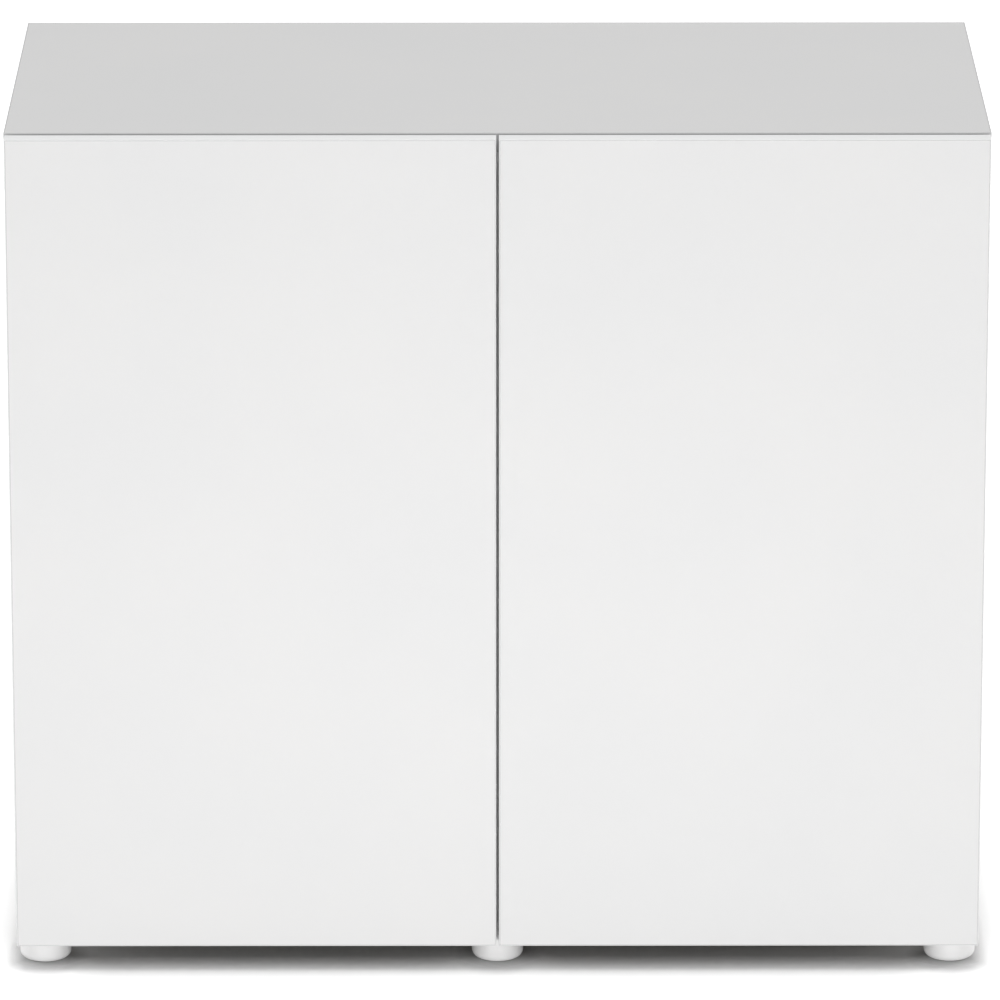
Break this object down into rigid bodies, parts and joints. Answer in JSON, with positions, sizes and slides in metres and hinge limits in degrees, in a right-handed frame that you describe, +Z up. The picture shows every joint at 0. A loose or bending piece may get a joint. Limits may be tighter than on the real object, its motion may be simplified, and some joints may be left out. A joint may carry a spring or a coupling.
{
  "type": "aquarium stand cabinet",
  "caption": "White aquarium stand cabinet with flush handle-free push-open doors, a flat tank top, adjustable shelves and low round screw feet.",
  "frame": {"origin": "on the floor under the middle of the cabinet's outline", "axes": "+Z up, +X to the right as seen from the front, the doors face -Y"},
  "size_m": [0.9, 0.471, 0.8],
  "materials": {
    "white_laminate": "white melamine laminate on chipboard, satin",
    "grey_laminate": "light grey laminate on chipboard, satin",
    "white_plastic": "moulded white plastic",
    "black_plastic": "moulded black plastic",
    "nickel": "nickel-plated steel",
    "zinc": "zinc-plated steel",
    "beech": "fluted beech, raw"
  },
  "bodies": {
    "carcass": {"top_panel": "grey_laminate", "bottom_panel": "white_laminate", "left_side": "white_laminate", "right_side": "white_laminate", "centre_divider": "white_laminate", "left_back_panel": "white_laminate", "right_back_panel": "white_laminate", "left_port_trim": "black_plastic", "right_port_trim": "black_plastic", "back_screws": "zinc", "left_shelf": "white_laminate", "right_shelf": "white_laminate", "shelf_pins": "nickel", "cam_locks": "zinc", "cam_bolts": "zinc", "dowels": "beech", "hinge_plates": "nickel", "plate_screws": "zinc", "hinge_arms": "nickel", "arm_screws": "zinc", "latch_housings": "black_plastic", "latch_screws": "zinc", "left_latch_spring": "nickel", "right_latch_spring": "nickel", "foot_inserts": "zinc"},
    "left_door_leaf": {"left_door": "white_laminate", "left_hinge_cups": "nickel", "left_cup_screws": "zinc", "left_hinge_pins": "zinc", "left_strike_plate": "zinc", "left_strike_screw": "zinc"},
    "left_latch_plunger": {"left_plunger": "black_plastic", "left_magnet": "nickel"},
    "right_door_leaf": {"right_door": "white_laminate", "right_hinge_cups": "nickel", "right_cup_screws": "zinc", "right_hinge_pins": "zinc", "right_strike_plate": "zinc", "right_strike_screw": "zinc"},
    "right_latch_plunger": {"right_plunger": "black_plastic", "right_magnet": "nickel"},
    "front_left_screw_foot": {"front_left_foot": "white_plastic"},
    "front_centre_screw_foot": {"front_centre_foot": "white_plastic"},
    "front_right_screw_foot": {"front_right_foot": "white_plastic"},
    "rear_left_screw_foot": {"rear_left_foot": "white_plastic"},
    "rear_centre_screw_foot": {"rear_centre_foot": "white_plastic"},
    "rear_right_screw_foot": {"rear_right_foot": "white_plastic"}
  },
  "joints": [
    {"name": "left_door_swing", "type": "hinge", "parent": "carcass", "child": "left_door_leaf", "pos_m": [-0.4417, -0.2255, 0.41], "axis": [0, 0, -1], "range_deg": [0, 95]},
    {"name": "right_door_swing", "type": "hinge", "parent": "carcass", "child": "right_door_leaf", "pos_m": [0.4417, -0.2255, 0.41], "axis": [0, 0, 1], "range_deg": [0, 95]},
    {"name": "left_latch_push", "type": "slide", "parent": "carcass", "child": "left_latch_plunger", "axis": [0, 1, 0], "range_m": [0, 0.0025], "stiffness_N_per_m": 400, "springref_m": -0.006, "deforming": ["left_latch_spring"]},
    {"name": "right_latch_push", "type": "slide", "parent": "carcass", "child": "right_latch_plunger", "axis": [0, 1, 0], "range_m": [0, 0.0025], "stiffness_N_per_m": 400, "springref_m": -0.006, "deforming": ["right_latch_spring"]},
    {"name": "front_left_foot_screw", "type": "slide", "parent": "carcass", "child": "front_left_screw_foot", "axis": [0, 0, -1], "range_m": [0, 0.008]},
    {"name": "front_centre_foot_screw", "type": "slide", "parent": "carcass", "child": "front_centre_screw_foot", "axis": [0, 0, -1], "range_m": [0, 0.008]},
    {"name": "front_right_foot_screw", "type": "slide", "parent": "carcass", "child": "front_right_screw_foot", "axis": [0, 0, -1], "range_m": [0, 0.008]},
    {"name": "rear_left_foot_screw", "type": "slide", "parent": "carcass", "child": "rear_left_screw_foot", "axis": [0, 0, -1], "range_m": [0, 0.008]},
    {"name": "rear_centre_foot_screw", "type": "slide", "parent": "carcass", "child": "rear_centre_screw_foot", "axis": [0, 0, -1], "range_m": [0, 0.008]},
    {"name": "rear_right_foot_screw", "type": "slide", "parent": "carcass", "child": "rear_right_screw_foot", "axis": [0, 0, -1], "range_m": [0, 0.008]}
  ]
}
